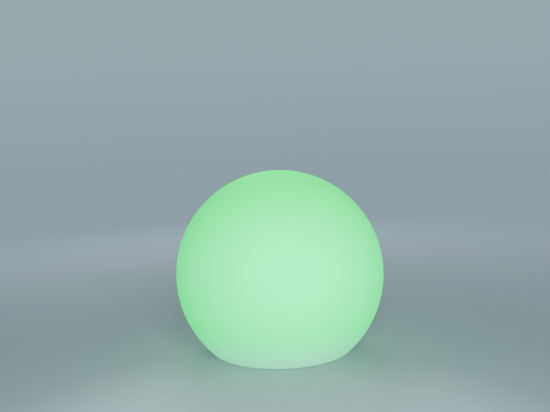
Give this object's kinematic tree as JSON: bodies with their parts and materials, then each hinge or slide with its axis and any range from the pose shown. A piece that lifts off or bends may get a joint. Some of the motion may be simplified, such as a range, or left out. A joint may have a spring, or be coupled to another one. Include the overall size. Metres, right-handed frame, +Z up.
{
  "type": "garden globe light",
  "caption": "Glowing ball with a flat base for garden or patio; a twist-lock lamp unit in the base holds the battery, light board, button and charging socket.",
  "frame": {"origin": "centre of the base, on the surface that the four foot pads stand on", "axes": "+Z up through the top of the ball; +X along the grip bar of the lamp unit, towards the power button"},
  "size_m": [0.2999, 0.2998, 0.2633],
  "materials": {
    "milky_shell": "translucent moulded polythene, fine satin skin",
    "brass_insert": "knurled brass",
    "grey_silicone": "soft matt silicone",
    "white_moulding": "fine spark-eroded texture",
    "stainless": "stainless steel",
    "foot_rubber": "matt elastomer",
    "button_moulding": "satin grey",
    "switch_body": "black moulding",
    "socket_steel": "nickel-plated steel",
    "cover_moulding": "soft-touch grey",
    "clear_pipe": "clear acrylic",
    "led_package": "white package with a clear window",
    "board_green": "green solder mask",
    "board_white": "white solder mask",
    "connector_white": "natural nylon",
    "ribbon_grey": "grey flat cable",
    "cell_sleeve": "shrink sleeve over a metal can",
    "cradle_black": "black moulding",
    "nickel": "nickel strip",
    "wire_red": "silicone insulation",
    "wire_black": "silicone insulation",
    "chip_black": "moulded epoxy",
    "capacitor": "sleeved aluminium can",
    "plate_aluminium": "mill finish",
    "receiver_eye": "dark filter resin",
    "lens_frost": "frosted polycarbonate"
  },
  "bodies": {
    "globe": {"globe_shell": "milky_shell", "neck_inserts": "brass_insert", "neck_gasket": "grey_silicone", "neck_ring": "white_moulding", "neck_ring_screws": "stainless", "foot_pad_1": "foot_rubber", "foot_pad_2": "foot_rubber", "foot_pad_3": "foot_rubber", "foot_pad_4": "foot_rubber"},
    "lamp_unit": {"base_housing": "white_moulding", "seal_ring": "grey_silicone", "power_switch": "switch_body", "charge_socket": "socket_steel", "port_cover_pin": "stainless", "status_window": "clear_pipe", "status_led": "led_package", "io_board": "board_green", "io_board_screws": "stainless", "io_ribbon_plug": "connector_white", "io_ribbon": "ribbon_grey", "battery_cell_1": "cell_sleeve", "battery_cell_2": "cell_sleeve", "battery_cradle": "cradle_black", "cell_link": "nickel", "protection_board": "board_green", "cradle_screw": "stainless", "battery_clamp": "cradle_black", "battery_clamp_screws": "stainless", "battery_lead_red": "wire_red", "battery_lead_black": "wire_black", "control_board": "board_green", "control_chip": "chip_black", "driver_transistors": "chip_black", "buffer_capacitor": "capacitor", "board_connectors": "connector_white", "board_standoffs": "brass_insert", "heat_spreader": "plate_aluminium", "led_ribbon": "ribbon_grey", "led_board": "board_white", "rgb_leds": "led_package", "white_leds": "led_package", "ir_receiver": "receiver_eye", "led_board_screws": "stainless", "lens_gasket": "grey_silicone", "lens_cover": "lens_frost", "lens_screws": "stainless"},
    "power_button": {"power_button": "button_moulding", "button_seal": "grey_silicone", "switch_plunger": "button_moulding"},
    "port_cover": {"port_cover": "cover_moulding"}
  },
  "joints": [
    {"name": "unit_turn", "type": "hinge", "parent": "globe", "child": "lamp_unit", "pos_m": [0, 0, 0.012], "axis": [0, 0, 1], "range_deg": [-61.5, 0]},
    {"name": "power_press", "type": "slide", "parent": "lamp_unit", "child": "power_button", "axis": [0, 0, 1], "range_m": [0, 0.001], "stiffness_N_per_m": 600, "springref_m": -0.0003},
    {"name": "port_cover_swing", "type": "hinge", "parent": "lamp_unit", "child": "port_cover", "pos_m": [-0.0316, 0, 0.0049], "axis": [0, 1, 0], "range_deg": [0, 110]}
  ]
}
